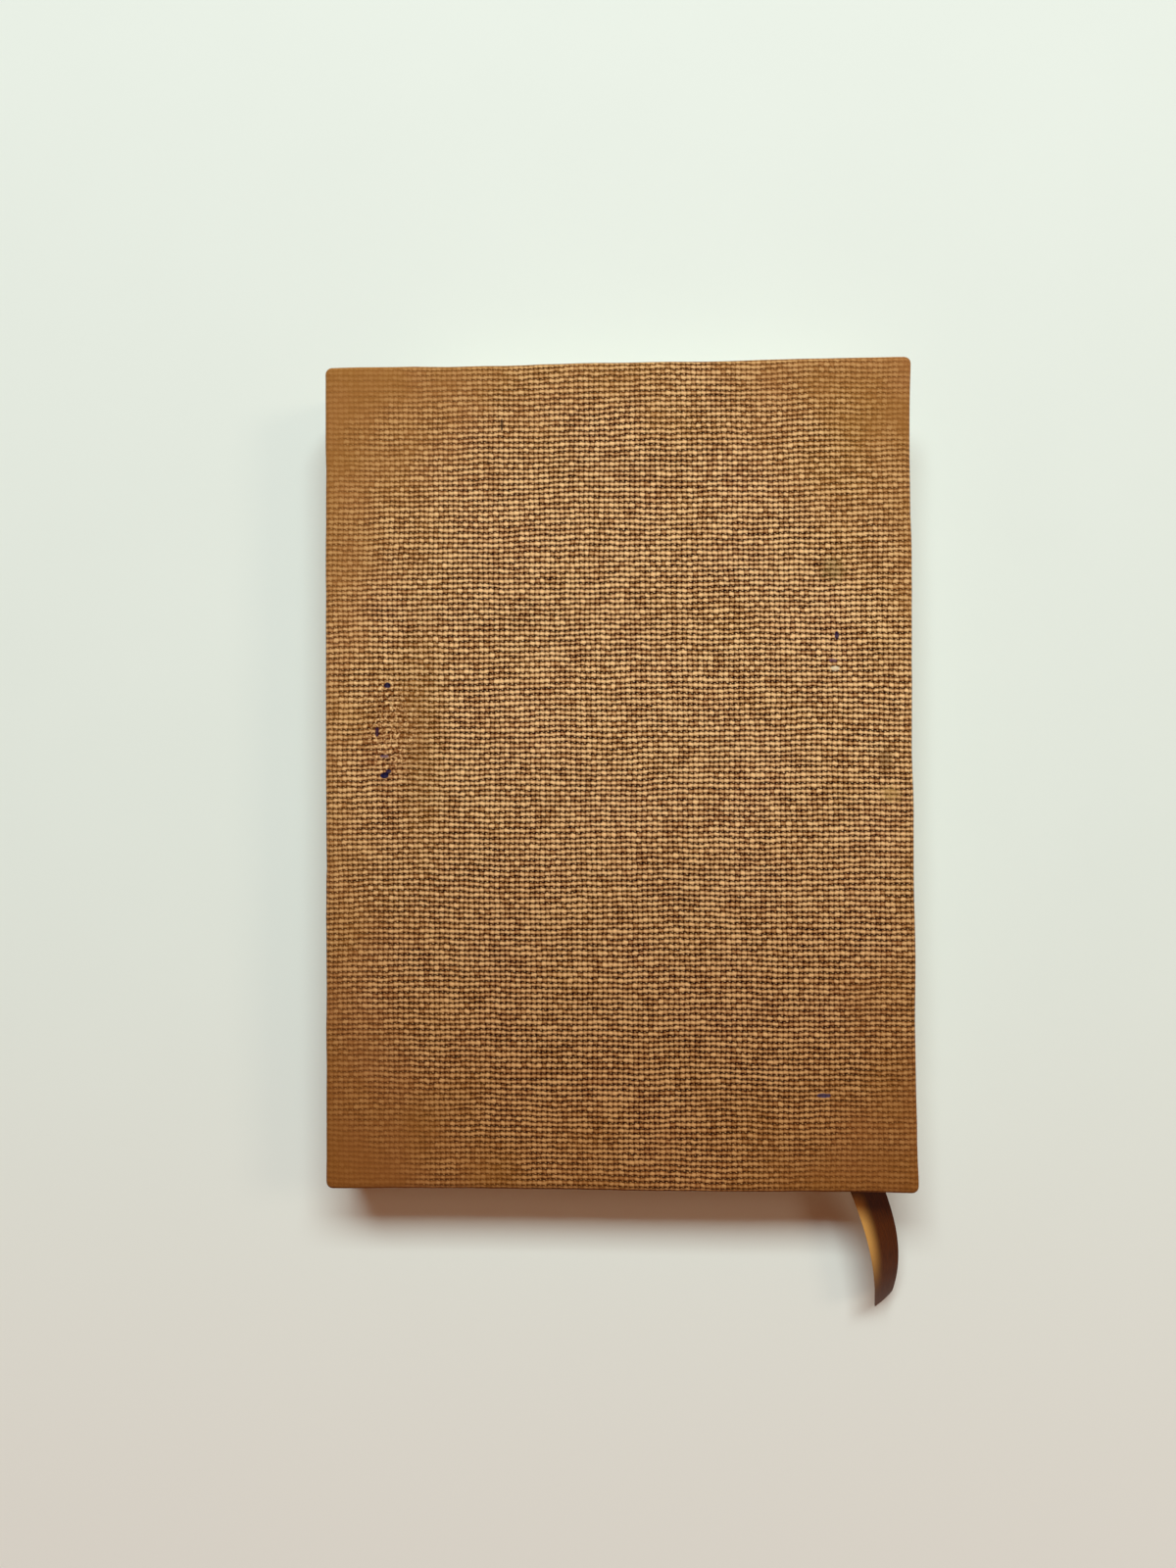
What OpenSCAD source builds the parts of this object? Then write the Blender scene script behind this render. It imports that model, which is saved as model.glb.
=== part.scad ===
// Pocket journal: a sewn block of leaves cased in two cloth-covered boards and a stiff flat spine,
// lying closed on its back cover. The origin is the centre of the back cover's outer face.
// +X runs from the spine to the fore-edge, +Y to the head of the page and +Z to the front cover.

/* [Covers] */
// Width of a cover, from the outside of the spine to the fore-edge
cover_w = 105; // [90:1:130]
// Height of a cover, from head to tail
cover_h = 148; // [120:1:190]
// Thickness of a cover board
board_t = 2; // [1.6:0.1:3]
// Radius to which the boards' edges are crushed
board_edge_r = 0.5; // [0.3:0.1:0.7]
// Plan radius of the boards' corners
board_corner_r = 0.8; // [0.5:0.1:3]

/* [Cloth] */
// Thickness of the linen
cloth_t = 0.4; // [0.3:0.05:0.5]
// Width of the linen that is turned in over a board
turn_in_w = 14; // [8:1:20]
// Open line along the mitre where two turned-in edges meet
mitre_gap = 0.3; // [0.2:0.1:0.8]
// Spacing of the weft threads, which run from the spine to the fore-edge
weft_pitch = 0.95; // [0.8:0.05:2]
// Width of the furrow between two weft threads
furrow_w = 0.36; // [0.2:0.02:0.5]
// Depth of the furrow between two weft threads
furrow_d = 0.14; // [0.05:0.01:0.2]

/* [Spine] */
// Thickness of the stiff strip in the spine
spine_board_t = 1.2; // [0.8:0.1:2]
// Hollow between the stiff strip and the lining of the block
hollow_w = 0.8; // [0.8:0.05:1.2]
// Play at each end of the stiff strip, next to the covers' hinge lines
hinge_play = 0.3; // [0.2:0.1:0.6]
// Thickness of the paper lining glued over the gauze
lining_t = 0.15; // [0.1:0.05:0.3]
// Thickness of the gauze glued to the folds
gauze_t = 0.2; // [0.15:0.05:0.4]

/* [Leaves] */
// Number of folded sections sewn together
section_count = 12; // [8:2:16]
// Thickness of one pressed section
section_t = 0.88; // [0.76:0.02:1.1]
// How far the leaves stand back from the covers at head, tail and fore-edge
square_w = 3; // [2.5:0.5:5]
// Thickness of an endpaper
endpaper_t = 0.15; // [0.1:0.05:0.25]
// Distance from a pastedown's edge to the cover's edge
paste_margin = 2.5; // [2:0.5:5]

/* [Sewing and bands] */
// Thickness of the sewing thread
thread_d = 0.4; // [0.3:0.05:0.6]
// Play of the thread in the notch that is sawn across the folds
thread_play = 0.05; // [0.02:0.01:0.1]
// Number of places along the spine where the thread links the sections
stitch_count = 6; // [4:1:9]
// Distance of the outermost stitches from the leaves' head and tail
stitch_margin = 14; // [12:1:24]
// Thickness of the bead on a headband
bead_d = 1.2; // [0.8:0.1:1.5]
// Height of the headband's tab that is glued to the spine
band_tab_h = 9; // [5:1:10]
// Play between the bead and the edges of the leaves
bead_play = 0.05; // [0.02:0.01:0.2]

/* [Ribbon] */
// Width of the ribbon
ribbon_w = 6; // [4:0.5:7]
// Thickness of the ribbon
ribbon_t = 0.25; // [0.15:0.05:0.4]
// Play between the ribbon and the leaves around it
ribbon_play = 0.1; // [0.05:0.05:0.2]
// Length of ribbon glued down the spine
ribbon_glued_l = 28; // [15:1:50]
// Distance from the folds to the ribbon's middle where it goes in between the leaves
ribbon_in = 8; // [7:0.5:20]
// Distance from the cover's fore-edge to the ribbon's middle where it comes out at the tail
ribbon_out = 9.3; // [8:0.1:30]
// Length of the ribbon's free end, from the leaves' tail edge to its tip
ribbon_tail_l = 26; // [15:1:60]
// How far the free end sways towards the fore-edge
ribbon_sway = 5.5; // [0:0.5:10]
// Height by which the free end droops
ribbon_droop = 3; // [0:0.5:4]
// Roll of the free end about its length, in degrees
ribbon_roll = 60; // [0:5:60]
// How much further one edge of the slanting tip reaches than the other
ribbon_slant = 3; // [0:0.5:5]

/* [Hidden] */
$fn = 48;
// How far a cutting solid runs on past the surface that it cuts
past = 1;

// Covers
spine_x = -cover_w / 2;
fore_x = cover_w / 2;
head_y = cover_h / 2;
cover_t = 2 * cloth_t + board_t + endpaper_t;
board_w = cover_w - 2 * cloth_t;
board_h = cover_h - 2 * cloth_t;
cloth_edge_r = board_edge_r + cloth_t;
cloth_corner_r = board_corner_r + cloth_t;

// Heights, from the table up
leaves_t = section_count * section_t;
leaves_z = cover_t + endpaper_t;
back_hinge_z = cover_t;
front_hinge_z = leaves_z + leaves_t + endpaper_t;
total_t = front_hinge_z + cover_t;
mid_z = total_t / 2;

// Layers of the spine, from the outside in
spine_board_x = spine_x + cloth_t;
hollow_x = spine_board_x + spine_board_t;
lining_x = hollow_x + hollow_w;
gauze_x = lining_x + lining_t;
folds_x = gauze_x + gauze_t;

// Leaves
leaf_fore_x = fore_x - square_w;
leaf_head_y = head_y - square_w;
leaf_w = leaf_fore_x - folds_x;
leaf_h = 2 * leaf_head_y;
stitch_y = leaf_head_y - stitch_margin;
stitch_step = 2 * stitch_y / (stitch_count - 1);

// Ribbon: it runs up the spine, over the headband and slantwise between the two middle sections
ribbon_spine_x = lining_x - ribbon_t / 2;
ribbon_in_pos = [folds_x + ribbon_in, leaf_head_y, mid_z];
ribbon_out_pos = [fore_x - ribbon_out, -leaf_head_y, mid_z];
ribbon_run = ribbon_out_pos - ribbon_in_pos;
ribbon_dir = ribbon_run / norm(ribbon_run);
ribbon_across = [-ribbon_dir.y, ribbon_dir.x, 0];
band_top_y = leaf_head_y + bead_play + bead_d;
up = [0, 0, 1];
// How deep and how high the leaves part where the ribbon goes in
mouth_l = 4 * ribbon_w / 3;
mouth_h = 5 * ribbon_w / 6;

// Part of v that is square to the direction d, as a unit vector
function square_to(v, d) = let (u = v - (v * d) * d / (d * d)) u / norm(u);

// Point at t on the smooth curve from p1 to p2, with the neighbours p0 and p3
function on_curve(p0, p1, p2, p3, t) =
    0.5 * (2 * p1 + (p2 - p0) * t + (2 * p0 - 5 * p1 + 4 * p2 - p3) * t * t
        + (3 * p1 - p0 - 3 * p2 + p3) * t * t * t);

// Smooth curve from the second to the last but one of the points, with steps between each two
function curve(points, steps) = [
    for (i = [1 : len(points) - 3], k = [0 : steps - 1])
        on_curve(points[i - 1], points[i], points[i + 1], points[i + 2], k / steps),
    points[len(points) - 2]
];

// Rectangle with round corners
module rounded(w, h, r) {
    translate([r, 0]) square([w - 2 * r, h]);
    translate([0, r]) square([w, h - 2 * r]);
    for (x = [r, w - r], y = [r, h - r]) translate([x, y]) circle(r);
}

// Outlines of a cover and of its board, seen from above
module cloth_plan() translate([spine_x, -head_y]) rounded(cover_w, cover_h, cloth_corner_r);
module board_plan() translate([spine_board_x, cloth_t - head_y]) rounded(board_w, board_h, board_corner_r);

// Flat slab with the outline given as its child, w by h in plan, with all its edges rounded
module slab(x0, z0, w, h, t, edge_r) {
    intersection() {
        translate([0, 0, z0 - past]) linear_extrude(t + 2 * past) children();
        translate([x0, h / 2 + past, z0]) rotate([90, 0, 0])
            linear_extrude(h + 2 * past) rounded(w, t, edge_r);
        translate([x0 - past, -h / 2, z0]) rotate([90, 0, 90])
            linear_extrude(w + 2 * past) rounded(h, t, edge_r);
    }
}

// Furrows between the weft threads, in plan: wedges along the edge y of a strip of cloth
module furrows() {
    rows = floor((head_y - cloth_corner_r) / weft_pitch - 0.5);
    for (row = [-rows : rows - 1])
        translate([(row + 0.5) * weft_pitch, 0])
            polygon([[-furrow_w / 2, -past], [-furrow_w / 2, 0], [0, furrow_d],
                [furrow_w / 2, 0], [furrow_w / 2, -past]]);
}

// One cover lies with its outer face at z = 0 and its inner face up; the front cover is its mirror
module as_front() {
    translate([0, 0, total_t]) mirror([0, 0, 1]) children();
}

module cover_board() {
    slab(spine_board_x, cloth_t, board_w, board_h, board_t, board_edge_r) board_plan();
}

// Linen of one cover: wrapped over the board and turned in at head, tail and fore-edge. At the
// spine it runs down the board's edge to the hinge line
module cover_cloth() {
    inner_z = 2 * cloth_t + board_t;
    difference() {
        union() {
            slab(spine_x, 0, cover_w, cover_h, inner_z, cloth_edge_r) cloth_plan();
            translate([0, 0, inner_z / 2]) linear_extrude(cover_t - inner_z / 2) intersection() {
                cloth_plan();
                translate([spine_x, -head_y]) square([cloth_t, cover_h]);
            }
        }
        cover_board();
        translate([spine_board_x, turn_in_w - head_y, inner_z - cloth_t - board_t / 2])
            cube([cover_w - cloth_t - turn_in_w, 2 * (head_y - turn_in_w), board_t + past]);
        for (side = [-1, 1])
            translate([fore_x, side * head_y, inner_z - cloth_t]) rotate([0, 0, side * 45])
                translate([-2 * turn_in_w, -mitre_gap / 2]) cube([2 * turn_in_w - past, mitre_gap, past]);
        translate([spine_x - past, 0, 0]) rotate([90, 0, 90]) linear_extrude(cover_w + 2 * past) furrows();
    }
}

// Endpaper half pasted to the board. It steps down from the turned-in linen to the bare board
module cover_pastedown() {
    paste_h = cover_h - 2 * paste_margin;
    window_w = cover_w - cloth_t - turn_in_w;
    window_h = cover_h - 2 * turn_in_w;
    translate([spine_board_x, 0, cloth_t + board_t]) difference() {
        translate([0, -paste_h / 2, 0])
            cube([cover_w - cloth_t - paste_margin, paste_h, cloth_t + endpaper_t]);
        difference() {
            translate([-past, -cover_h / 2, -past]) cube([cover_w + past, cover_h, past + cloth_t]);
            translate([-2 * past, -window_h / 2, -2 * past])
                cube([window_w + 2 * past, window_h, cloth_t + 3 * past]);
        }
        translate([-past, endpaper_t - window_h / 2, endpaper_t])
            cube([window_w + past - endpaper_t, window_h - 2 * endpaper_t, cloth_t + past]);
    }
}

module front_board() color("#9a9186") as_front() cover_board();
module back_board() color("#9a9186") cover_board();
module front_cloth() color("#9d7149") as_front() cover_cloth();
module back_cloth() color("#9d7149") cover_cloth();
module front_pastedown() color("#ece5d3") as_front() cover_pastedown();
module back_pastedown() color("#ece5d3") cover_pastedown();

// Stiff strip between the covers, rounded at its outer corners as the boards are
module spine_board() color("#9a9186")
    translate([0, 0, back_hinge_z + hinge_play])
        linear_extrude(front_hinge_z - back_hinge_z - 2 * hinge_play) spine_board_plan();

module spine_board_plan() intersection() {
    board_plan();
    translate([spine_board_x, -head_y]) square([spine_board_t, cover_h]);
}

// Linen over the stiff strip, turned in over its ends, between the two hinge lines
module spine_cloth() color("#9d7149")
    translate([0, 0, back_hinge_z]) linear_extrude(front_hinge_z - back_hinge_z) difference() {
        intersection() {
            cloth_plan();
            translate([spine_x, -head_y]) square([hollow_x + cloth_t - spine_x, cover_h]);
        }
        spine_board_plan();
        translate([spine_board_x, turn_in_w - head_y])
            square([spine_board_t + cloth_t + past, cover_h - 2 * turn_in_w]);
        translate([spine_x, 0]) rotate(90) mirror([0, 1]) furrows();
    }

// Paper lining over the whole back of the block
module spine_lining() color("#b89264")
    translate([lining_x, -leaf_head_y, leaves_z]) cube([lining_t, leaf_h, leaves_t]);

// Open-weave gauze between the tabs of the two bands
module spine_gauze() color("#e6e0d0")
    translate([gauze_x, band_tab_h - leaf_head_y, leaves_z])
        cube([gauze_t, leaf_h - 2 * band_tab_h, leaves_t]);

// Band at one end of the block: a tab glued to the folds with a bead over the leaves' edges
module band() {
    bead_y = leaf_head_y + bead_play + bead_d / 2;
    translate([gauze_x, leaf_head_y - band_tab_h, leaves_z])
        cube([gauze_t, band_tab_h + bead_play + bead_d / 2, leaves_t]);
    translate([gauze_x + bead_d / 2, bead_y, leaves_z]) cylinder(d = bead_d, h = leaves_t);
}

module headband() color("#e9dfc6") band();
module tailband() color("#e9dfc6") mirror([0, 1, 0]) band();

// All the leaves, with the round folds of the sections at the spine, the notches for the thread
// and the narrow space where the ribbon parts them
module text_block() color("#efe8d6") difference() {
    translate([0, leaf_head_y, 0]) rotate([90, 0, 0]) linear_extrude(leaf_h) {
        translate([folds_x + section_t / 2, leaves_z]) square([leaf_w - section_t / 2, leaves_t]);
        for (i = [0 : section_count - 1])
            translate([folds_x + section_t / 2, leaves_z + (i + 0.5) * section_t]) circle(section_t / 2);
    }
    for (i = [0 : stitch_count - 1])
        translate([folds_x - past, i * stitch_step - stitch_y - thread_d / 2 - thread_play, leaves_z - past])
            cube([past + thread_d + 2 * thread_play, thread_d + 2 * thread_play, leaves_t + 2 * past]);
    translate(ribbon_in_pos) rotate([0, 0, atan2(ribbon_run.y, ribbon_run.x)])
        translate([-ribbon_w, -ribbon_w / 2 - ribbon_play, -ribbon_t / 2 - ribbon_play])
            cube([norm(ribbon_run) + 2 * ribbon_w, ribbon_w + 2 * ribbon_play, ribbon_t + 2 * ribbon_play]);
    translate([ribbon_in_pos.x - ribbon_w, leaf_head_y, mid_z]) rotate([90, 0, 90])
        linear_extrude(2 * ribbon_w)
            polygon([[-mouth_l, 0], [0, -mouth_h / 2], [past, -mouth_h / 2], [past, mouth_h / 2],
                [0, mouth_h / 2]]);
}

// Linking stitches that lie in the notches across the folds
module sewing_thread() color("#ded6c2")
    for (i = [0 : stitch_count - 1])
        translate([folds_x + thread_d / 2 + thread_play, i * stitch_step - stitch_y, leaves_z])
            cylinder(d = thread_d, h = leaves_t);

module front_flyleaf() color("#ece5d3")
    translate([folds_x, -leaf_head_y, front_hinge_z - endpaper_t]) cube([leaf_w, leaf_h, endpaper_t]);

module back_flyleaf() color("#ece5d3")
    translate([folds_x, -leaf_head_y, back_hinge_z]) cube([leaf_w, leaf_h, endpaper_t]);

// Places of the ribbon's middle and the directions of its width, in pairs: over the headband
over_band = [
    [[ribbon_spine_x, leaf_head_y - 3, mid_z], up],
    [[ribbon_spine_x, leaf_head_y - 1, mid_z], up],
    [[ribbon_spine_x, band_top_y - bead_d / 2, mid_z], up],
    [[gauze_x + bead_d / 2, band_top_y + ribbon_t, mid_z], up],
    [[0.4 * gauze_x + 0.6 * ribbon_in_pos.x, band_top_y, mid_z], square_to(0.1 * ribbon_across + up, ribbon_dir)],
    [ribbon_in_pos, square_to(1.5 * ribbon_across + up, ribbon_dir)],
    [ribbon_in_pos + mouth_l * ribbon_dir, ribbon_across],
    [ribbon_in_pos + 2 * mouth_l * ribbon_dir, ribbon_across]
];

// Free end at the share s of its length: it sways, droops and rolls
function tail_place(s) = ribbon_out_pos
    + [ribbon_sway * sin(110 * s), -ribbon_tail_l * s, -ribbon_droop * s * s];
function tail_width(s) = let (roll = ribbon_roll * s * s * (3 - 2 * s))
    cos(roll) * [cos(25 * (1 - s)), sin(25 * (1 - s)), 0] - sin(roll) * up;

// One ring of the ribbon: four corners around its middle. skew slides its edges along dir
function ribbon_ring(place, width, dir, skew = 0) =
    let (w = square_to(width, dir), thick = cross(dir, w) * ribbon_t / 2)
    [for (c = [[-1, -1], [1, -1], [1, 1], [-1, 1]])
        place + c[0] * (w * ribbon_w / 2 - dir * skew / 2) + c[1] * thick];

module ribbon_marker() color("#5a2d08") {
    band_steps = 4;
    tail_steps = 14;
    over = curve(over_band, band_steps);
    tail = [for (k = [1 : tail_steps]) let (s = k / tail_steps) [tail_place(s), tail_width(s)]];
    route = concat([[[ribbon_spine_x, leaf_head_y - ribbon_glued_l, mid_z], up]],
        over, [[ribbon_out_pos, ribbon_across]], tail);
    last = len(route) - 1;
    rings = [for (i = [0 : last])
        let (ahead = route[min(i + 1, last)][0] - route[max(i - 1, 0)][0])
        ribbon_ring(route[i][0], route[i][1], ahead / norm(ahead), i == last ? ribbon_slant : 0)];
    polyhedron(
        points = [for (ring = rings, point = ring) point],
        faces = concat(
            [[3, 2, 1, 0]],
            [for (i = [0 : last - 1], k = [0 : 3], half = [0, 1])
                let (a = 4 * i + k, b = 4 * i + (k + 1) % 4) half == 0 ? [a, b, b + 4] : [a, b + 4, a + 4]],
            [[for (k = [0 : 3]) 4 * last + k]]));
}

text_block();
sewing_thread();
spine_gauze();
spine_lining();
headband();
tailband();
ribbon_marker();
front_flyleaf();
back_flyleaf();
spine_board();
spine_cloth();
front_board();
front_cloth();
front_pastedown();
back_board();
back_cloth();
back_pastedown();
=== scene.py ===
"""A cloth-covered pocket journal, dressed in the order in which it is bound."""
import math

import bmesh
import bpy
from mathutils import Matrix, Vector, noise


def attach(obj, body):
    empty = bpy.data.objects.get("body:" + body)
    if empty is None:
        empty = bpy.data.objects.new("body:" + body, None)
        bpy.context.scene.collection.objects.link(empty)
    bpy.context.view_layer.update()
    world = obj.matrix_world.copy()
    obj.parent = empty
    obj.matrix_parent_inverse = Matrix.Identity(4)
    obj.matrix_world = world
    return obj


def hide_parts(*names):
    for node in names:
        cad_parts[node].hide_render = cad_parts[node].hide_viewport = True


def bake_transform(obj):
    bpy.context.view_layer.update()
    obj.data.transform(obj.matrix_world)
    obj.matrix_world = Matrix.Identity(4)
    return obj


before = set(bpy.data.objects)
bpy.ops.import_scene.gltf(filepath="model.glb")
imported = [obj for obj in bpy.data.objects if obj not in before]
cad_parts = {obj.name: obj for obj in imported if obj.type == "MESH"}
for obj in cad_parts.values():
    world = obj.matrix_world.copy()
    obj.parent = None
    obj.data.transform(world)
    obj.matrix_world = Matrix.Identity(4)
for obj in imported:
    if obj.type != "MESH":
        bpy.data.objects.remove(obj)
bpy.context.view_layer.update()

# Camera
# Held by hand straight over the closed journal, 235 mm above the table and a little
# towards the tail, so that the four edges of the cover show almost without tilt.
camera = bpy.data.objects.new("camera", bpy.data.cameras.new("camera"))
camera.data.sensor_fit = "VERTICAL"
camera.data.sensor_height = 36
camera.data.lens = 28.125
camera.data.clip_start = 0.01
camera.location = (0.00372, -0.00589, 0.23503)
camera.rotation_euler = (math.radians(1.07), math.radians(2.32), math.radians(-0.29))
bpy.context.scene.collection.objects.link(camera)
bpy.context.scene.camera = camera
bpy.context.scene.view_settings.view_transform = "Standard"


# Table
# A smooth pale table top of painted board. It is plain, with a faint unevenness in the paint
# and a slightly warmer tone towards the tail, and takes only the journal's shadow.
def linear(code):
    """Linear colour of an sRGB hex code."""
    parts = [int(code[i:i + 2], 16) / 255 for i in (1, 3, 5)]
    return [p / 12.92 if p <= 0.04045 else ((p + 0.055) / 1.055) ** 2.4 for p in parts] + [1]


def finish(name, roughness):
    """New material with a plain shader, and that shader."""
    material = bpy.data.materials.new(name)
    material.use_nodes = True
    shader = material.node_tree.nodes["Principled BSDF"]
    shader.inputs["Roughness"].default_value = roughness
    return material, shader


def add(material, kind, inputs=None, **settings):
    """Outputs of a new node. Its inputs are given by name or number, as values or as outputs."""
    node = material.node_tree.nodes.new("ShaderNode" + kind)
    for key, value in settings.items():
        setattr(node, key, value)
    for key, value in (inputs or {}).items():
        if isinstance(value, bpy.types.NodeSocket):
            material.node_tree.links.new(value, node.inputs[key])
        else:
            node.inputs[key].default_value = value
    return node.outputs


def wire(material, output, shader, socket):
    """Lead an output into one of the shader's sockets."""
    material.node_tree.links.new(output, shader.inputs[socket])


def piece(name, bm, material):
    """Object of a finished bmesh in millimetres, smooth but for edges sharper than 40 degrees."""
    bmesh.ops.scale(bm, vec=(0.001, 0.001, 0.001), verts=bm.verts)
    for face in bm.faces:
        face.smooth = True
    for edge in bm.edges:
        edge.smooth = len(edge.link_faces) == 2 and edge.calc_face_angle(0) < math.radians(40)
    mesh = bpy.data.meshes.new(name)
    bm.to_mesh(mesh)
    bm.free()
    mesh.materials.append(material)
    made = bpy.data.objects.new(name, mesh)
    bpy.context.scene.collection.objects.link(made)
    return made


# Painted board: an even off-white with a slight green cast, quite matt
painted_board, shader = finish("painted board", 0.7)
place = add(painted_board, "TexCoord")["Object"]
cloud = add(painted_board, "TexNoise", {"Vector": place, "Scale": 30, "Detail": 3})[0]
paint = add(painted_board, "Mix", {0: cloud, 6: linear("#e3e7de"), 7: linear("#e0e4db")},
            data_type="RGBA")[2]
near = add(painted_board, "SeparateXYZ", {0: place})[1]
near = add(painted_board, "MapRange", {0: near, 1: -0.16, 2: 0.0, 3: 1.0, 4: 0.0},
           interpolation_type="SMOOTHSTEP")[0]
paint = add(painted_board, "Mix", {0: near, 6: paint, 7: linear("#e3ddd4")}, data_type="RGBA")[2]
wire(painted_board, paint, shader, "Base Color")
bm = bmesh.new()
bmesh.ops.create_grid(bm, x_segments=8, y_segments=8, size=1500)
# A hair below the linen, so that the two faces don't share one plane
bmesh.ops.translate(bm, vec=(0, 0, -0.02), verts=bm.verts)
piece("table", bm, painted_board)


# Light
# A long soft light beyond the head of the journal gives the shadow along the tail, and a weaker
# one from the fore-edge side the ribbon's. The room fills in with a faint warm light, and shows
# pale past the table's edge and in reflections.
def soft_light(name, place, length, height, watts, tint):
    """Oblong soft light that faces the journal."""
    lamp = bpy.data.lights.new(name, "AREA")
    lamp.shape = "RECTANGLE"
    lamp.size = length
    lamp.size_y = height
    lamp.energy = watts
    lamp.color = linear(tint)[:3]
    made = bpy.data.objects.new(name, lamp)
    made.location = place
    made.rotation_euler = Vector(place).to_track_quat("Z", "Y").to_euler()
    bpy.context.scene.collection.objects.link(made)


soft_light("head light", (0.06, 1.22, 1.6), 1.6, 0.52, 49, "#e6fbff")
soft_light("side light", (1.3, 0.35, 1.2), 0.4, 0.4, 3.2, "#fff0d8")
room = bpy.data.worlds.new("room")
room.use_nodes = True
walls = room.node_tree.nodes["Background"]
path = add(room, "LightPath")
seen = add(room, "Math", {0: path["Is Camera Ray"], 1: path["Is Glossy Ray"]}, operation="MAXIMUM")[0]
seen = add(room, "Math", {0: seen, 1: path["Is Transmission Ray"]}, operation="MAXIMUM")[0]
tone = add(room, "Mix", {0: seen, 6: linear("#7c4624"), 7: linear("#e3e6de")}, data_type="RGBA")[2]
wire(room, tone, walls, "Color")
walls.inputs["Strength"].default_value = 1
bpy.context.scene.world = room

# Leaves
# Twelve folded sections of cream writing paper, cut flush at head, tail and fore-edge. The
# cut shows every leaf as a fine line, and slight gaps between the sections, darkened with painted shade.
leaf_h = 142
leaves_z = 3.1
section_t = 0.88

# Uncoated writing paper, cut on a guillotine: matt, with fine lines along the cut. A leaf is
# 0.11 mm thick, too fine to show, so the lines are drawn two to four leaves wide
cut_leaves, shader = finish("cut edge of cream writing paper", 0.85)
place = add(cut_leaves, "TexCoord")["Object"]
strata = add(cut_leaves, "Mapping", {"Vector": place, "Scale": (40, 40, 4200)})[0]
line = add(cut_leaves, "TexNoise", {"Vector": strata, "Scale": 1, "Detail": 3, "Roughness": 0.6})[0]
broad = add(cut_leaves, "Mapping", {"Vector": place, "Scale": (25, 25, 900)})[0]
swell = add(cut_leaves, "TexNoise", {"Vector": broad, "Scale": 1, "Detail": 2})[0]
height = add(cut_leaves, "SeparateXYZ", {0: place})[2]
turn = add(cut_leaves, "Math", {0: height, 1: -leaves_z / 1000}, operation="ADD")[0]
turn = add(cut_leaves, "Math", {0: turn, 1: 1000 / section_t}, operation="MULTIPLY")[0]
turn = add(cut_leaves, "Math", {0: turn}, operation="FRACT")[0]
turn = add(cut_leaves, "Math", {0: turn, 1: 0.5}, operation="SUBTRACT")[0]
turn = add(cut_leaves, "Math", {0: turn}, operation="ABSOLUTE")[0]
gap = add(cut_leaves, "MapRange", {0: turn, 1: 0.43, 2: 0.5, 3: 0.0, 4: 0.45},
          interpolation_type="SMOOTHSTEP")[0]
shade = add(cut_leaves, "MapRange", {0: line, 1: 0.35, 2: 0.68, 3: 0.0, 4: 1.0})[0]
tone = add(cut_leaves, "Mix", {0: shade, 6: linear("#f0e9d8"), 7: linear("#cbbfa4")}, data_type="RGBA")[2]
tone = add(cut_leaves, "Mix", {0: swell, 6: tone, 7: linear("#e6dcc4")}, data_type="RGBA")[2]
# Painted shade darkens the gaps between the sections
tone = add(cut_leaves, "Mix", {0: gap, 6: tone, 7: linear("#8f8266")}, data_type="RGBA")[2]
wire(cut_leaves, tone, shader, "Base Color")
relief = add(cut_leaves, "Math", {0: line, 1: gap}, operation="SUBTRACT")[0]
relief = add(cut_leaves, "Bump", {"Height": relief, "Strength": 0.5, "Distance": 0.00012})[0]
wire(cut_leaves, relief, shader, "Normal")
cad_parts["text_block"].data.materials[0] = cut_leaves

# Sewing
# The sections are linked with waxed linen thread that lies across the folds in six places,
# and the folds are then glued.
# Waxed linen thread: cream, two plies laid at a slant, with a dull waxy sheen
waxed_thread, shader = finish("waxed linen thread", 0.5)
place = add(waxed_thread, "TexCoord")["Object"]
plies = add(waxed_thread, "TexWave", {"Vector": place, "Scale": 500, "Distortion": 0.6},
            bands_direction="DIAGONAL")[1]
tone = add(waxed_thread, "Mix", {0: plies, 6: linear("#cdbf9f"), 7: linear("#eee4cb")}, data_type="RGBA")[2]
wire(waxed_thread, tone, shader, "Base Color")
relief = add(waxed_thread, "Bump", {"Height": plies, "Strength": 0.6, "Distance": 0.0001})[0]
wire(waxed_thread, relief, shader, "Normal")
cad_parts["sewing_thread"].data.materials[0] = waxed_thread

# Gauze and lining
# Open gauze is glued over the folds to hold the sections, and brown paper over the gauze
# keeps the back of the block stiff and smooth.
# Starched book gauze: pale threads 1 mm apart with glue showing in the holes
gauze, shader = finish("starched book gauze", 0.8)
place = add(gauze, "TexCoord")["Object"]
across = add(gauze, "TexWave", {"Vector": place, "Scale": 314}, bands_direction="Y")[1]
along = add(gauze, "TexWave", {"Vector": place, "Scale": 314}, bands_direction="Z")[1]
net = add(gauze, "Math", {0: across, 1: along}, operation="MAXIMUM")[0]
net = add(gauze, "MapRange", {0: net, 1: 0.55, 2: 0.85})[0]
tone = add(gauze, "Mix", {0: net, 6: linear("#b39c6c"), 7: linear("#ece5d2")}, data_type="RGBA")[2]
wire(gauze, tone, shader, "Base Color")
relief = add(gauze, "Bump", {"Height": net, "Strength": 0.8, "Distance": 0.00015})[0]
wire(gauze, relief, shader, "Normal")
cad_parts["spine_gauze"].data.materials[0] = gauze

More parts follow.
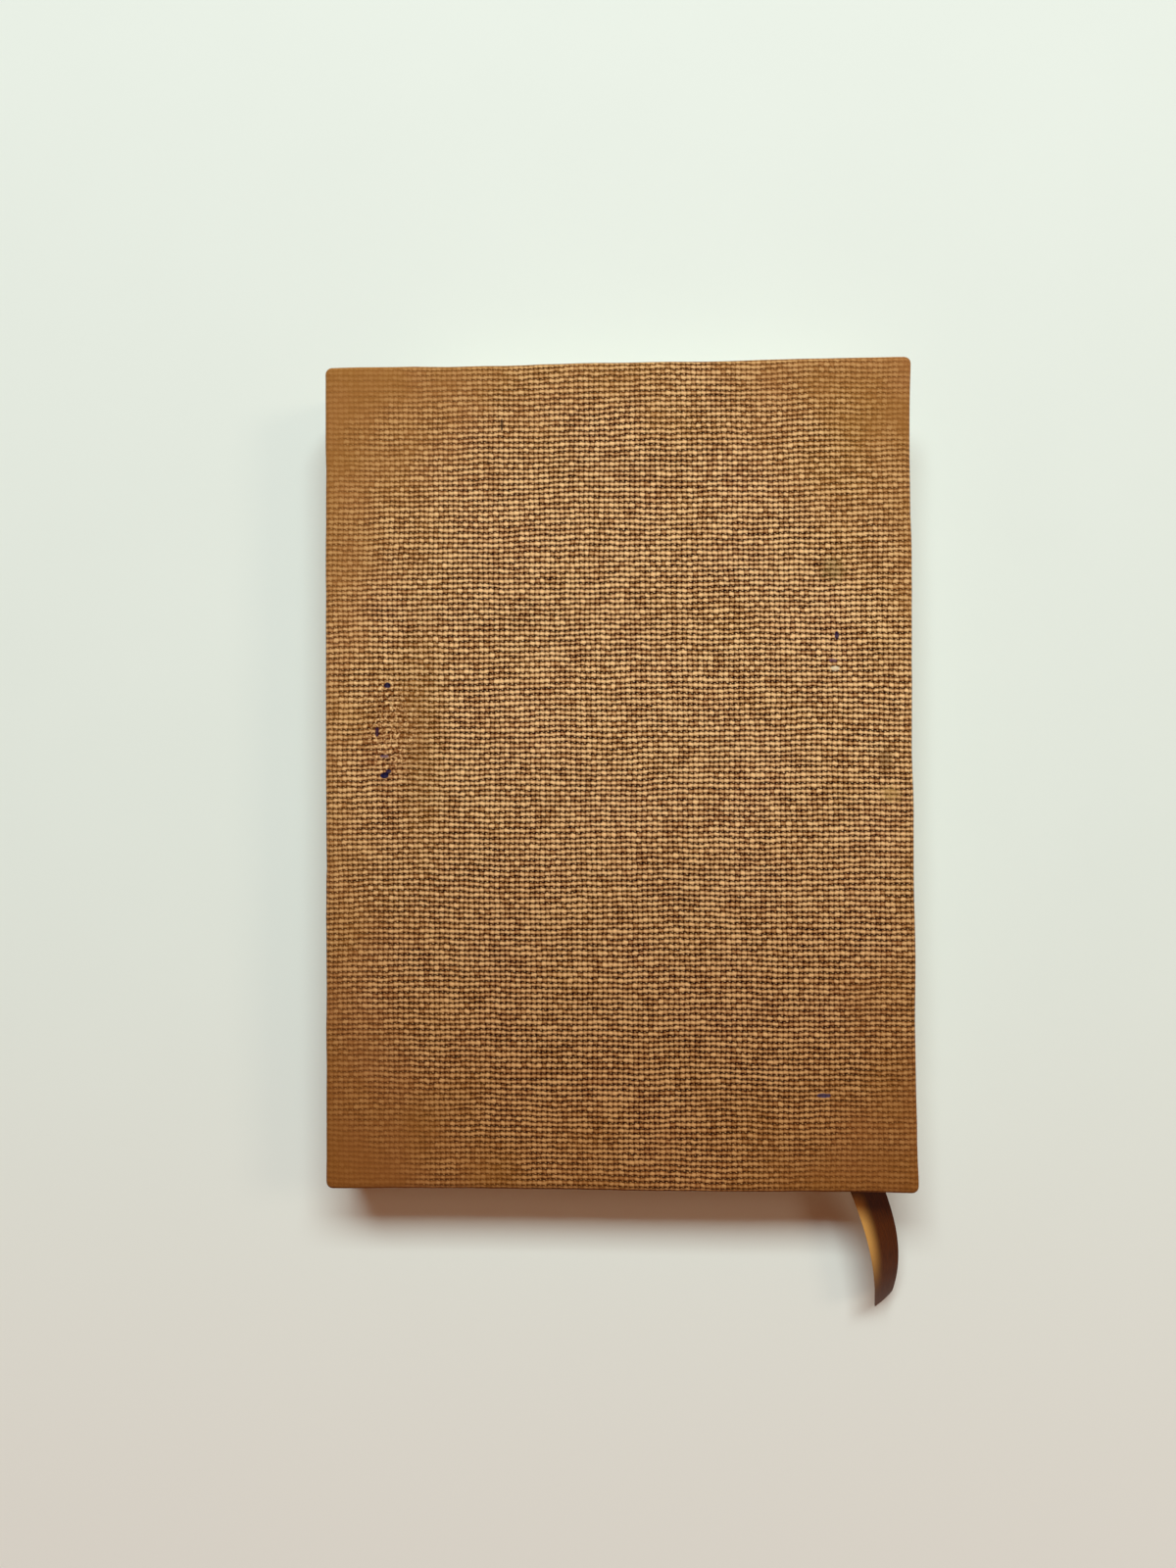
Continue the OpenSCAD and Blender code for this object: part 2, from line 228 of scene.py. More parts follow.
# Ribbed kraft paper: brown and matt, with fibres and faint ribs 1.5 mm apart
kraft, shader = finish("kraft lining paper", 0.8)
place = add(kraft, "TexCoord")["Object"]
ribs = add(kraft, "TexWave", {"Vector": place, "Scale": 210, "Distortion": 0.4}, bands_direction="Y")[1]
fibres = add(kraft, "TexNoise", {"Vector": place, "Scale": 1800, "Detail": 4})[0]
tone = add(kraft, "Mix", {0: fibres, 6: linear("#8f6c42"), 7: linear("#bd9462")}, data_type="RGBA")[2]
wire(kraft, tone, shader, "Base Color")
relief = add(kraft, "Math", {0: ribs, 1: fibres}, operation="ADD")[0]
relief = add(kraft, "Bump", {"Height": relief, "Strength": 0.4, "Distance": 0.00008})[0]
wire(kraft, relief, shader, "Normal")
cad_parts["spine_lining"].data.materials[0] = kraft

# Headbands
# A woven cotton tape with a corded edge is glued to the folds at head and tail, with the
# cord over the leaves' edges. Its threads are cream with a brown pair every 1.2 mm.
# Striped cotton tape: matt, with raised turns of thread round the cord
band_tape, shader = finish("striped cotton band", 0.75)
place = add(band_tape, "TexCoord")["Object"]
turns = add(band_tape, "TexWave", {"Vector": place, "Scale": 785, "Distortion": 0.3},
            bands_direction="Z")[1]
pairs = add(band_tape, "TexWave", {"Vector": place, "Scale": 262}, bands_direction="Z")[1]
dark = add(band_tape, "MapRange", {0: pairs, 1: 0.55, 2: 0.65}, interpolation_type="SMOOTHSTEP")[0]
tone = add(band_tape, "Mix", {0: dark, 6: linear("#ebe0c8"), 7: linear("#7a4a24")}, data_type="RGBA")[2]
wire(band_tape, tone, shader, "Base Color")
relief = add(band_tape, "Bump", {"Height": turns, "Strength": 0.8, "Distance": 0.0002})[0]
wire(band_tape, relief, shader, "Normal")
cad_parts["headband"].data.materials[0] = band_tape
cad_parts["tailband"].data.materials[0] = band_tape

# Ribbon
# A flat 6 mm satin ribbon is glued down the back of the block, comes over the headband, lies
# slantwise between the two middle sections and hangs out at the tail with a slanting cut end.
ribbon_w = 6
ribbon_t = 0.22
ribbon_spine_x = -50.225
total_t = 16.76
mid_z = total_t / 2
up = Vector((0, 0, 1))
ribbon_in = Vector((-41.75, leaf_h / 2, mid_z))
ribbon_out = Vector((43.2, -leaf_h / 2, mid_z))
run = (ribbon_out - ribbon_in).normalized()
across = Vector((-run.y, run.x, 0))
# Places on the ribbon's middle line, each with the direction of its width
stations = [(Vector((ribbon_spine_x, y, mid_z)), up) for y in (43, 56, 68, 70, 71.65)]
stations += [
    (Vector((-49.35, 72.5, mid_z)), up),
    (Vector((-45.03, 72.25, mid_z)), 0.1 * across + up),
    (ribbon_in, 1.5 * across + up),
    (ribbon_in + 8 * run, across),
    (ribbon_in + 16 * run, across),
    (ribbon_in + 80 * run, across),
    (ribbon_out - 16 * run, across),
    (ribbon_out - 5 * run, across),
]
# The free end sways towards the fore-edge, droops and rolls over with its left side up
free_l = 26
free_steps = 8
for k in range(free_steps + 1):
    s = k / free_steps
    heading = math.radians(25 * (1 - s))
    roll = math.radians(50 * s ** 1.7)
    flat = Vector((math.cos(heading), math.sin(heading), 0))
    sway = Vector((5.5 * math.sin(math.radians(110 * s)), -free_l * s, -3 * s * s))
    stations.append((ribbon_out + sway, math.cos(roll) * flat - math.sin(roll) * up))


def on_ribbon(t):
    """Place, direction and width direction at t stations along the ribbon."""
    i = min(int(t), len(stations) - 2)
    f = t - i
    near = [stations[max(0, min(len(stations) - 1, i + k))] for k in (-1, 0, 1, 2)]
    (p0, _), (p1, w1), (p2, w2), (p3, _) = near
    spot = 0.5 * (2 * p1 + (p2 - p0) * f + (2 * p0 - 5 * p1 + 4 * p2 - p3) * f * f
                  + (3 * p1 - p0 - 3 * p2 + p3) * f ** 3)
    ahead = (p2 - p0 + (4 * p0 - 10 * p1 + 8 * p2 - 2 * p3) * f
             + 3 * (3 * p1 - p0 - 3 * p2 + p3) * f * f).normalized()
    wide = w1.lerp(w2, f)
    return spot, ahead, (wide - wide.dot(ahead) * ahead).normalized()


bm = bmesh.new()
bmesh.ops.create_grid(bm, x_segments=8, y_segments=220, size=0.5)
threads = bm.loops.layers.uv.new("threads")
route = {}
for vert in bm.verts:
    route[vert] = (vert.co.x, vert.co.y + 0.5)
for vert, (side, share) in route.items():
    spot, ahead, wide = on_ribbon(share * (len(stations) - 1))
    # Its free part is cupped a little, and its cut end slants with rounded corners
    cup = 0.16 * (4 * side * side - 0.4) * ahead.cross(wide) * min(1, max(0, share - 0.55) * 8)
    slant = (0.8 * (side + 0.5) ** 4 + 0.3 * (0.5 - side) ** 4 - 0.3) * max(0, share - 0.93) / 0.07
    vert.co = spot + side * ribbon_w * wide + cup - slant * ahead
# The drawn threads' own coordinates: millimetres across, and the share of the stations along
along_scale = 290
for face in bm.faces:
    for loop in face.loops:
        side, share = route[loop.vert]
        loop[threads].uv = (side * ribbon_w, share * along_scale)
bmesh.ops.solidify(bm, geom=bm.faces, thickness=ribbon_t)
bmesh.ops.recalc_face_normals(bm, faces=bm.faces)

# Polyester satin: dark brown, with close lengthwise threads in long soft streaks and a firm
# selvedge on each side. Its raised left side carries a painted golden sheen. The threads are
# drawn 0.25 mm apart
satin, shader = finish("polyester satin", 0.42)
shader.inputs["Anisotropic"].default_value = 0.4
shader.inputs["Specular IOR Level"].default_value = 0.12
lay = add(satin, "UVMap", uv_map="threads")[0]
ends = add(satin, "TexWave", {"Vector": lay, "Scale": 1.26, "Distortion": 0.4}, bands_direction="X")[1]
drawn = add(satin, "Mapping", {"Vector": lay, "Scale": (5, 0.12, 1)})[0]
streak = add(satin, "TexNoise", {"Vector": drawn, "Scale": 1, "Detail": 3})[0]
side, down, _ = add(satin, "SeparateXYZ", {0: lay})
tone = add(satin, "Mix", {0: streak, 6: linear("#260a00"), 7: linear("#5c2804")}, data_type="RGBA")[2]
# A painted golden sheen along the raised left side, from just below the cover's edge to near the tip
painted_sheen = add(satin, "MapRange", {0: side, 1: -0.3, 2: -2.9}, interpolation_type="SMOOTHSTEP")[0]
start = add(satin, "MapRange", {0: down, 1: 195, 2: 212}, interpolation_type="SMOOTHSTEP")[0]
stop = add(satin, "MapRange", {0: down, 1: 285, 2: 235}, interpolation_type="SMOOTHSTEP")[0]
painted_sheen = add(satin, "Math", {0: painted_sheen, 1: start}, operation="MULTIPLY")[0]
painted_sheen = add(satin, "Math", {0: painted_sheen, 1: stop}, operation="MULTIPLY")[0]
tone = add(satin, "Mix", {0: painted_sheen, 6: tone, 7: linear("#c08a48")}, data_type="RGBA")[2]
side = add(satin, "Math", {0: side}, operation="ABSOLUTE")[0]
selvedge = add(satin, "MapRange", {0: side, 1: 2.45, 2: 2.6}, interpolation_type="SMOOTHSTEP")[0]
wire(satin, tone, shader, "Base Color")
relief = add(satin, "Math", {0: ends, 1: selvedge}, operation="ADD")[0]
relief = add(satin, "Bump", {"Height": relief, "Strength": 0.35, "Distance": 0.00006})[0]
wire(satin, relief, shader, "Normal")
ribbon = piece("ribbon", bm, satin)
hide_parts("ribbon_marker")
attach(ribbon, "book_block")

# Endpapers
# At each end a folded sheet of cream paper joins the block to its cover. One half is the
# flyleaf, the other is pasted to the board over the turned-in linen.
back_hinge_z = 2.95
front_hinge_z = 13.81

# Smooth cream endpaper: matt, with a faint cloudiness from the pulp
endpaper, shader = finish("smooth cream endpaper", 0.75)
place = add(endpaper, "TexCoord")["Object"]
pulp = add(endpaper, "TexNoise", {"Vector": place, "Scale": 160, "Detail": 5, "Roughness": 0.65})[0]
tone = add(endpaper, "Mix", {0: pulp, 6: linear("#e6dec9"), 7: linear("#f0eadb")}, data_type="RGBA")[2]
wire(endpaper, tone, shader, "Base Color")
grain = add(endpaper, "TexNoise", {"Vector": place, "Scale": 2500, "Detail": 3})[0]
relief = add(endpaper, "Bump", {"Height": grain, "Strength": 0.3, "Distance": 0.00004})[0]
wire(endpaper, relief, shader, "Normal")
for name in ("front_flyleaf", "back_flyleaf", "front_pastedown", "back_pastedown"):
    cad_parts[name].data.materials[0] = endpaper

# The fold of each sheet runs over the joint between the block and the cover. It is drawn out
# as a strip along the profile below, given as x and the height over the hinge line
fold_profile = [(-49.78, -0.075), (-52, -0.075), (-52.25, -0.035), (-52.46, -0.012),
                (-52.46, 0.012), (-52.25, 0.035), (-52.08, 0.075)]
for name, cover, hinge_z, way in (("front_endpaper_fold", "front_cover", front_hinge_z, 1),
                                  ("back_endpaper_fold", "back_cover", back_hinge_z, -1)):
    bm = bmesh.new()
    last = None
    for x, rise in fold_profile:
        vert = bm.verts.new((x, -leaf_h / 2, hinge_z + way * rise))
        if last:
            bm.edges.new((last, vert))
        last = vert
    drawn = bmesh.ops.extrude_edge_only(bm, edges=bm.edges[:])["geom"]
    far_side = [v for v in drawn if isinstance(v, bmesh.types.BMVert)]
    bmesh.ops.translate(bm, vec=(0, leaf_h, 0), verts=far_side)
    bmesh.ops.recalc_face_normals(bm, faces=bm.faces)
    fold = piece(name, bm, endpaper)
    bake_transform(fold)

# Boards
# Two boards of 2 mm grey board and a narrower, thinner strip for the spine, cut with square
# edges that are rubbed round. Linen and paper cover them, and only their cut edges could show.
# Grey board: rough pressed waste paper, with dark and pale flecks
greyboard, shader = finish("pressed grey board", 0.9)
place = add(greyboard, "TexCoord")["Object"]
flecks = add(greyboard, "TexNoise", {"Vector": place, "Scale": 900, "Detail": 5, "Roughness": 0.7})[0]
tone = add(greyboard, "Mix", {0: flecks, 6: linear("#7a7368"), 7: linear("#b1a999")}, data_type="RGBA")[2]
wire(greyboard, tone, shader, "Base Color")
relief = add(greyboard, "Bump", {"Height": flecks, "Strength": 0.5, "Distance": 0.0001})[0]
wire(greyboard, relief, shader, "Normal")
for name in ("front_board", "back_board", "spine_board"):
    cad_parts[name].data.materials[0] = greyboard

# Linen
# One sheet of coarse plain-woven linen is glued over both boards and the spine strip, and
# turned in by 14 mm with mitred corners. It is divided here at the two hinge lines.
cover_w = 105
cover_h = 148
fore_x = cover_w / 2
head_y = cover_h / 2
cloth_t = 0.4
wrap_t = 2.8
turn_in_w = 14
corner_r = 1.2
rim_r = 0.9
half_mitre = 0.15
fold_room = 0.13
near_spine_x = -52.3
# Where the linen is cut up finely enough to stray, from head to tail
rows = [-71.5 + 3.25 * k for k in range(45)]
# The noise is seeded, so that the linen strays the same way at each run
noise.seed_set(1)


def wander(x, y):
    """How far the hand-glued linen strays sideways at a place, in millimetres."""
    slow = noise.noise_vector(Vector((x, y, 5)) * 0.045)
    quick = noise.noise_vector(Vector((x, y, 9)) * 0.16)
    near = math.exp(-((x - fore_x) ** 2 + (abs(y) - head_y) ** 2) / 40)
    aside = 0.3 * slow.x + 0.12 * quick.x + 0.3 * near
    # At the spine it only sinks in, so that an open cover lies clear of it
    if x < -51:
        aside = abs(aside)
    return Vector((aside, 0.3 * slow.y + 0.12 * quick.y + math.copysign(0.12 * near, y), 0))


def cut_up(bm, axis, places):
    """Cut the whole mesh square to an axis, 0 for x, 1 for y and 2 for z, at each place."""
    for place in places:
        spot = Vector((0, 0, 0))
        spot[axis] = place
        normal = Vector((0, 0, 0))
        normal[axis] = 1
        bmesh.ops.bisect_plane(bm, geom=bm.verts[:] + bm.edges[:] + bm.faces[:], dist=1e-5,
                               plane_co=spot, plane_no=normal)


def cover_linen(name, body, is_front):
    """Linen round one board, made lying with its outer face at the bottom."""
    bm = bmesh.new()
    bmesh.ops.create_cube(bm, size=1)
    bmesh.ops.scale(bm, vec=(cover_w, cover_h, wrap_t), verts=bm.verts)
    bmesh.ops.translate(bm, vec=(0, 0, wrap_t / 2), verts=bm.verts)
    uprights = [e for e in bm.edges if abs(e.verts[0].co.z - e.verts[1].co.z) > 1]
    bmesh.ops.bevel(bm, geom=uprights, offset=corner_r, segments=4, profile=0.5, affect="EDGES",
                    material=-1)
    rims = [e for e in bm.edges if all(v.co.z < 0.01 for v in e.verts)]
    # Inside, all but the edge at the spine
    rims += [e for e in bm.edges if all(v.co.z > wrap_t - 0.01 for v in e.verts)
             and any(v.co.x > -51.2 for v in e.verts)]
    bmesh.ops.bevel(bm, geom=rims, offset=rim_r, segments=4, profile=0.5, affect="EDGES",
                    material=-1)
    # The window that the turned-in linen leaves free, and the narrow mitres at its corners
    cut_up(bm, 0, [cloth_t - fore_x, fore_x - turn_in_w])
    cut_up(bm, 1, [turn_in_w - head_y, head_y - turn_in_w])
    window = [f for f in bm.faces if f.calc_center_median().z > wrap_t - 0.01
              and f.calc_center_median().x < fore_x - turn_in_w
              and abs(f.calc_center_median().y) < head_y - turn_in_w]
    bmesh.ops.delete(bm, geom=window, context="FACES")
    for sign in (-1, 1):
        for shift in (-half_mitre, half_mitre):
            inner = [f for f in bm.faces if f.calc_center_median().z > wrap_t - 0.01
                     and f.calc_center_median().x > fore_x - turn_in_w
                     and f.calc_center_median().y * sign > head_y - turn_in_w]
            around = {e for f in inner for e in f.edges} | {v for f in inner for v in f.verts}
            bmesh.ops.bisect_plane(bm, geom=inner + list(around), dist=1e-5,
                                   plane_co=(fore_x - shift, sign * head_y, 0),
                                   plane_no=(1, -sign, 0))
        slit = [f for f in bm.faces if f.calc_center_median().z > wrap_t - 0.01
                and f.calc_center_median().x > fore_x - turn_in_w
                and abs((fore_x - f.calc_center_median().x)
                        - (head_y - sign * f.calc_center_median().y)) < half_mitre]
        bmesh.ops.delete(bm, geom=slit, context="FACES")
    # At the spine the linen runs down to the hinge line
    for vert in bm.verts:
        if vert.co.z > wrap_t - 0.01 and vert.co.x < near_spine_x:
            vert.co.z = back_hinge_z
    cut_up(bm, 0, [-49.5 + 3.3 * k for k in range(31)])
    cut_up(bm, 1, rows)
    bmesh.ops.triangulate(bm, faces=[f for f in bm.faces if len(f.verts) > 4])
    # The threads' coordinates run on round the edges and over the turned-in part, and from the
    # front over the spine to the back
    threads = bm.loops.layers.uv.new("threads")
    for face in bm.faces:
        middle = face.calc_center_median()
        for loop in face.loops:
            x, y, z = loop.vert.co
            on_x = math.copysign(1, x) if abs(x) > fore_x - 0.95 else 0
            on_y = math.copysign(1, y) if abs(y) > head_y - 0.95 else 0
            u = x + on_x * z
            v = y + on_y * z
            if middle.z > wrap_t / 2 and face.normal.x > -0.7:
                if fore_x - middle.x < head_y - abs(middle.y):
                    u, v = cover_w - x + z, y
                else:
                    u, v = x, math.copysign(cover_h - abs(y) + z, middle.y)
            loop[threads].uv = (u, v) if is_front else (-cover_w - total_t - u, v)
    for vert in bm.verts:
        x, y, z = vert.co
        # The paper holds the turned-in part flat, so it strays only by its outer edges
        loose = max(0, 1 - min(fore_x - x, head_y - abs(y)) / 3) if z > wrap_t - 0.5 else 1
        vert.co += loose * wander(x, y)
        if is_front:
            vert.co.z -= loose * 0.08 * noise.noise(Vector((x, y, 2)) * 0.06)
    bmesh.ops.solidify(bm, geom=bm.faces, thickness=cloth_t)
    # Inside, the linen stops short of the hinge line and leaves it to the endpaper's fold
    for vert in bm.verts:
        if vert.co.z > back_hinge_z - 0.02 and vert.co.x > near_spine_x:
            vert.co.z -= fold_room
    if is_front:
        bmesh.ops.scale(bm, vec=(1, 1, -1), verts=bm.verts)
        bmesh.ops.translate(bm, vec=(0, 0, total_t), verts=bm.verts)
        bmesh.ops.reverse_faces(bm, faces=bm.faces)
    made = piece(name, bm, linen)
    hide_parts(body.replace("cover", "cloth"))
    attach(made, body)


# Coarse plain-woven linen in natural brown: matt, uneven flax yarns 0.91 mm apart across and
# 0.95 mm apart down, bulging where they cross over each other, with dark holes between them.
# Handling has flattened it towards the edges, and the front has ink specks, worn places
# and a small dent drawn as painted shade
linen, shader = finish("coarse plain-woven linen", 0.8)
shader.inputs["Sheen Weight"].default_value = 0.04
shader.inputs["Sheen Roughness"].default_value = 0.5
shader.inputs["Sheen Tint"].default_value = linear("#c98f58")
shader.inputs["Specular IOR Level"].default_value = 0.05
flat_lay = add(linen, "UVMap", uv_map="threads")[0]
drift = add(linen, "TexNoise", {"Vector": flat_lay, "Scale": 0.05, "Detail": 2})[1]
drift = add(linen, "VectorMath", {0: drift, 1: (0.5, 0.5, 0.5)}, operation="SUBTRACT")[0]
drift = add(linen, "VectorMath", {0: drift, 1: (0.8, 1.5, 0)}, operation="MULTIPLY")[0]
jog = add(linen, "TexNoise", {"Vector": flat_lay, "Scale": 0.7, "Detail": 1})[1]
jog = add(linen, "VectorMath", {0: jog, 1: (0.5, 0.5, 0.5)}, operation="SUBTRACT")[0]
jog = add(linen, "VectorMath", {0: jog, 1: (0.55, 0.5, 0)}, operation="MULTIPLY")[0]
lay = add(linen, "VectorMath", {0: flat_lay, 1: drift}, operation="ADD")[0]
lay = add(linen, "VectorMath", {0: lay, 1: jog}, operation="ADD")[0]
warp_pitch = 0.91
weft_pitch = 0.95
lay = add(linen, "VectorMath", {0: lay, 1: (warp_pitch, weft_pitch, 1)}, operation="DIVIDE")[0]
cell = add(linen, "VectorMath", {0: lay}, operation="FLOOR")[0]
chance = add(linen, "TexWhiteNoise", {"Vector": cell}, noise_dimensions="2D")[0]
spot = add(linen, "VectorMath", {0: lay}, operation="FRACTION")[0]
spot = add(linen, "VectorMath", {0: spot, 1: (0.5, 0.5, 0)}, operation="SUBTRACT")[0]
col, row, _ = add(linen, "SeparateXYZ", {0: cell})
off_warp, off_weft, _ = add(linen, "SeparateXYZ", {0: spot})
a, b, _ = add(linen, "SeparateXYZ", {0: lay})
# The twist of the yarns makes the warp lean a little where it comes up
lean_warp = add(linen, "Math", {0: off_weft, 1: 0.45, 2: off_warp}, operation="MULTIPLY_ADD")[0]
# The weft lies on top, and a little less so at every other crossing
turn = add(linen, "Math", {0: row, 1: col}, operation="ADD")[0]
turn = add(linen, "Math", {0: turn, 1: 2}, operation="FLOORED_MODULO")[0]
over = add(linen, "Math", {0: turn, 1: 0.4, 2: 0.6}, operation="MULTIPLY_ADD")[0]
# Weft, then warp: distance from the yarn's middle and from the crossing, place along the yarn,
# the yarn's number, its half width, its mean height and how far it rises over a crossing
yarns = [
    (off_weft, off_warp, a, row, 0.495, 0.84, 0.16),
    (lean_warp, off_weft, b, col, 0.25, 0.96, -0.25),
]
heights = []
for off, along_off, along, number, half_w, middle, swing in yarns:
    # The yarn's thick and thin places, different in each yarn
    slow = add(linen, "Math", {0: along, 1: 0.2}, operation="MULTIPLY")[0]
    apart = add(linen, "Math", {0: number, 1: 7.3}, operation="MULTIPLY")[0]
    path = add(linen, "CombineXYZ", {0: slow, 1: apart, 2: swing * 10})[0]
    slub = add(linen, "TexNoise", {"Vector": path, "Scale": 1, "Detail": 3, "Roughness": 0.7})[0]
    half = add(linen, "MapRange", {0: slub, 1: 0.3, 2: 0.7, 3: half_w * 0.84, 4: half_w * 1.13})[0]
    rise = add(linen, "Math", {0: off, 1: half}, operation="DIVIDE")[0]
    rise = add(linen, "Math", {0: rise, 1: rise}, operation="MULTIPLY")[0]
    rise = add(linen, "Math", {0: 1.0, 1: rise}, operation="SUBTRACT")[0]
    rise = add(linen, "Math", {0: rise, 1: 0.0}, operation="MAXIMUM")[0]
    rise = add(linen, "Math", {0: rise}, operation="SQRT")[0]
    wave = add(linen, "Math", {0: along_off, 1: math.pi}, operation="MULTIPLY")[0]
    wave = add(linen, "Math", {0: wave}, operation="COSINE")[0]
    wave = add(linen, "Math", {0: wave, 1: over}, operation="MULTIPLY")[0]
    wave = add(linen, "Math", {0: wave, 1: swing, 2: middle}, operation="MULTIPLY_ADD")[0]
    heights.append(add(linen, "Math", {0: rise, 1: wave}, operation="MULTIPLY")[0])
weave = add(linen, "Math", {0: heights[0], 1: heights[1]}, operation="MAXIMUM")[0]
on_top = add(linen, "Math", {0: heights[0], 1: heights[1]}, operation="GREATER_THAN")[0]
# Fibres along the yarn that is on top
along_weft = add(linen, "VectorMath", {0: lay, 1: (2.2, 8, 1)}, operation="MULTIPLY")[0]
along_warp = add(linen, "VectorMath", {0: lay, 1: (8, 2.2, 1)}, operation="MULTIPLY")[0]
fibre_lay = add(linen, "Mix", {0: on_top, 4: along_warp, 5: along_weft}, data_type="VECTOR")[1]
fibre = add(linen, "TexNoise", {"Vector": fibre_lay, "Scale": 1, "Detail": 3, "Roughness": 0.6})[0]
# Handling has flattened the weave towards the edges of the covers
place = add(linen, "TexCoord")["Object"]
far = add(linen, "VectorMath", {0: place, 1: (0.004, 0, 0)}, operation="SUBTRACT")[0]
far = add(linen, "VectorMath", {0: far, 1: (16.1, 11.9, 0)}, operation="MULTIPLY")[0]
far = add(linen, "VectorMath", {0: far, 1: far}, operation="DOT_PRODUCT")["Value"]
patch = add(linen, "TexNoise", {"Vector": flat_lay, "Scale": 0.09, "Detail": 2})[0]
far = add(linen, "Math", {0: patch, 1: 0.7, 2: far}, operation="MULTIPLY_ADD")[0]
depth = add(linen, "MapRange", {0: far, 1: 0.75, 2: 1.75, 3: 1.0, 4: 0.1},
            interpolation_type="SMOOTHSTEP")[0]
# Colour: brown, with painted shade in the holes and on the flanks of the yarns, and a painted highlight on
# their crowns
cloud = add(linen, "TexNoise", {"Vector": flat_lay, "Scale": 0.06, "Detail": 3})[0]
cloud = add(linen, "MapRange", {0: cloud, 1: 0.3, 2: 0.7})[0]
body = add(linen, "Mix", {0: cloud, 6: linear("#9e6c34"), 7: linear("#a56f42")}, data_type="RGBA")[2]
uneven = add(linen, "Math", {0: fibre, 1: chance}, operation="ADD")[0]
uneven = add(linen, "Math", {0: uneven, 1: 0.13, 2: -0.13}, operation="MULTIPLY_ADD")[0]
# The yarns' height, with some unevenness, sets where the painted highlight and painted shade fall
painted_light_height = add(linen, "Math", {0: weave, 1: uneven}, operation="ADD")[0]
# A patch near the spine is rubbed until the yarns have lost their order
place = add(linen, "VectorMath", {0: place, 1: (1000, 1000, 1000)}, operation="MULTIPLY")[0]
away = add(linen, "VectorMath", {0: place, 1: (-40.5, 8, total_t)}, operation="SUBTRACT")[0]
away = add(linen, "VectorMath", {0: away, 1: (0.16, 0.085, 1)}, operation="MULTIPLY")[0]
away = add(linen, "VectorMath", {0: away}, operation="LENGTH")["Value"]
rubbed = add(linen, "MapRange", {0: away, 1: 1.3, 2: 0.3, 4: 0.6}, interpolation_type="SMOOTHSTEP")[0]
fuzz = add(linen, "TexNoise", {"Vector": place, "Scale": 1.6, "Detail": 3, "Distortion": 1.5})[0]
fuzz = add(linen, "MapRange", {0: fuzz, 1: 0.32, 2: 0.68, 3: 0.5, 4: 1.1})[0]
painted_light_height = add(linen, "Mix", {0: rubbed, 2: painted_light_height, 3: fuzz})[0]
tone = body
# Painted highlight on the crowns, then painted shade on the flanks and in the holes
for low, high, hue in ((0.74, 1.02, "#fbcd92"), (0.86, 0.62, "#702a02"), (0.76, 0.56, "#0a0000")):
    share = add(linen, "MapRange", {0: painted_light_height, 1: low, 2: high}, interpolation_type="SMOOTHSTEP")[0]
    tone = add(linen, "Mix", {0: share, 6: tone, 7: linear(hue)}, data_type="RGBA")[2]
tone = add(linen, "Mix", {0: depth, 6: body, 7: tone}, data_type="RGBA")[2]
# It is darker towards the tail and round the edges
down = add(linen, "SeparateXYZ", {0: place})[1]
darker_to_tail = add(linen, "MapRange", {0: down, 1: 20, 2: -74}, interpolation_type="SMOOTHSTEP")[0]
tone = add(linen, "Mix", {0: darker_to_tail, 6: tone, 7: linear("#d6c4b2")}, data_type="RGBA",
           blend_type="MULTIPLY")[2]
edge = add(linen, "MapRange", {0: far, 1: 0.7, 2: 1.7}, interpolation_type="SMOOTHSTEP")[0]
tone = add(linen, "Mix", {0: edge, 6: tone, 7: linear("#f6f0e0")}, data_type="RGBA",
           blend_type="MULTIPLY")[2]
# Marks on the front cover. Each has its place and half size in millimetres, strength, softness
# and colour
rough = add(linen, "TexNoise", {"Vector": place, "Scale": 1.1, "Detail": 3})[0]
marks = [
    (-35, 8, 7, 42, 0.3, 1.0, "#92601f"), (-36, 5, 4, 14, 0.2, 1.0, "#9a6b3d"),
    # The dark mark at 47.6, 2.2 is painted shade in a small dent
    (38.6, 36, 3, 3, 0.4, 0.7, "#6d5d2c"), (47.6, 2.2, 2.2, 3.4, 0.5, 0.8, "#6b4318"),
    (48.4, -3.8, 2.6, 2.2, 0.6, 0.8, "#b98f52"), (38.8, 18.5, 0.9, 0.5, 0.8, 0.3, "#ecd3ac"),
    (38.4, 19.9, 0.9, 0.4, 0.7, 0.3, "#6b4a60"), (36.1, -56.9, 1.4, 0.45, 0.85, 0.3, "#3f3753"),
    (39.2, 24.4, 0.4, 0.9, 0.9, 0.2, "#241640"), (-20.3, 63, 0.3, 1.2, 0.8, 0.2, "#2c1208"),
    (-41.7, 3.4, 0.9, 0.35, 0.7, 0.3, "#57405c"), (-43, 7.8, 0.35, 0.9, 0.9, 0.2, "#2a1030"),
    (-41.2, 16.2, 0.65, 0.6, 0.95, 0.2, "#17153a"), (-41.6, 0, 0.75, 0.6, 0.97, 0.2, "#0e1138"),
    (-40.9, 0.7, 0.5, 0.4, 0.9, 0.2, "#0e1138"),
]
for x, y, half_x, half_y, strength, softness, hue in marks:
    away = add(linen, "VectorMath", {0: place, 1: (x, y, total_t)}, operation="SUBTRACT")[0]
    away = add(linen, "VectorMath", {0: away, 1: (1 / half_x, 1 / half_y, 1)}, operation="MULTIPLY")[0]
    away = add(linen, "VectorMath", {0: away}, operation="LENGTH")["Value"]
    away = add(linen, "Math", {0: rough, 1: 0.9, 2: away}, operation="MULTIPLY_ADD")[0]
    share = add(linen, "MapRange", {0: away, 1: 1.45, 2: 1.45 - softness, 4: strength},
                interpolation_type="SMOOTHSTEP")[0]
    tone = add(linen, "Mix", {0: share, 6: tone, 7: linear(hue)}, data_type="RGBA")[2]
